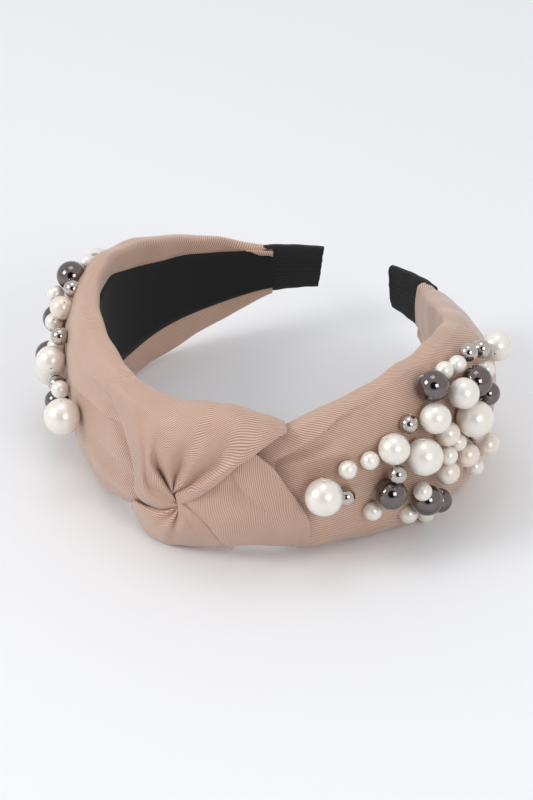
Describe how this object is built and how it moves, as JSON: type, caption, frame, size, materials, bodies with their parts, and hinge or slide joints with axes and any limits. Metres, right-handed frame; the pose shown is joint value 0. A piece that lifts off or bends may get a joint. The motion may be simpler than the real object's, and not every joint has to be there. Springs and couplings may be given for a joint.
{
  "type": "headband",
  "caption": "Wide padded fabric headband with a twisted knot at the crown, a spring hoop with black lining and ribbon ends, and clusters of sewn pearl and metal beads on both arms.",
  "frame": {"origin": "middle of the whole piece across and along, on the table surface that the long edge of the band rests on", "axes": "+Z along the width of the band, +Y from the crown and its knot to the open tips, +X to the right arm"},
  "size_m": [0.1649, 0.1492, 0.0586],
  "materials": {
    "sash_fabric": "satin twill",
    "lining": "matte fine cloth",
    "ribbon": "ribbed ribbon",
    "foam": "soft foam",
    "hoop": "smooth",
    "pearl": "pearlescent",
    "dark_metal": "polished",
    "silver_metal": "polished",
    "thread": "fine twisted thread"
  },
  "bodies": {
    "crown": {"crown_padding": "foam", "crown_sash": "sash_fabric", "hoop": "hoop", "knot_left_wrap": "sash_fabric", "knot_lower_lobe": "sash_fabric", "knot_right_panel": "sash_fabric", "knot_upper_loop": "sash_fabric", "lining": "lining"},
    "left_arm": {"left_grey_bead_1": "dark_metal", "left_grey_bead_2": "dark_metal", "left_grey_bead_3": "dark_metal", "left_large_bead_1": "pearl", "left_large_bead_2": "pearl", "left_light_bead_1": "pearl", "left_light_bead_2": "pearl", "left_light_bead_3": "pearl", "left_lightgrey_bead_1": "dark_metal", "left_lightgrey_bead_2": "dark_metal", "left_medium_bead_1": "pearl", "left_medium_bead_2": "pearl", "left_medium_bead_3": "pearl", "left_medium_bead_4": "pearl", "left_medium_bead_5": "pearl", "left_padding": "foam", "left_sash": "sash_fabric", "left_silver_beads": "silver_metal", "left_small_pearls": "pearl", "left_threads": "thread", "left_tip_cover": "ribbon"},
    "right_arm": {"right_grey_bead_1": "dark_metal", "right_grey_bead_2": "dark_metal", "right_grey_bead_3": "dark_metal", "right_grey_bead_4": "dark_metal", "right_large_bead_1": "pearl", "right_large_bead_2": "pearl", "right_large_bead_3": "pearl", "right_light_bead_1": "pearl", "right_light_bead_2": "pearl", "right_light_bead_3": "pearl", "right_light_bead_4": "pearl", "right_lightgrey_bead_1": "dark_metal", "right_lightgrey_bead_2": "dark_metal", "right_medium_bead_1": "pearl", "right_medium_bead_2": "pearl", "right_medium_bead_3": "pearl", "right_medium_bead_4": "pearl", "right_padding": "foam", "right_sash": "sash_fabric", "right_silver_beads": "silver_metal", "right_small_pearls": "pearl", "right_threads": "thread", "right_tip_cover": "ribbon"}
  },
  "joints": [
    {"name": "right_arm_flex", "type": "hinge", "parent": "crown", "child": "right_arm", "pos_m": [0.03083, -0.05442, 0], "axis": [0, 0, -1], "range_deg": [-4, 12], "stiffness_Nm_per_rad": 0.9, "deforming": ["hoop", "lining"]},
    {"name": "left_arm_flex", "type": "hinge", "parent": "crown", "child": "left_arm", "pos_m": [-0.03083, -0.05442, 0], "axis": [0, 0, 1], "range_deg": [-4, 12], "stiffness_Nm_per_rad": 0.9, "deforming": ["hoop", "lining"]}
  ]
}
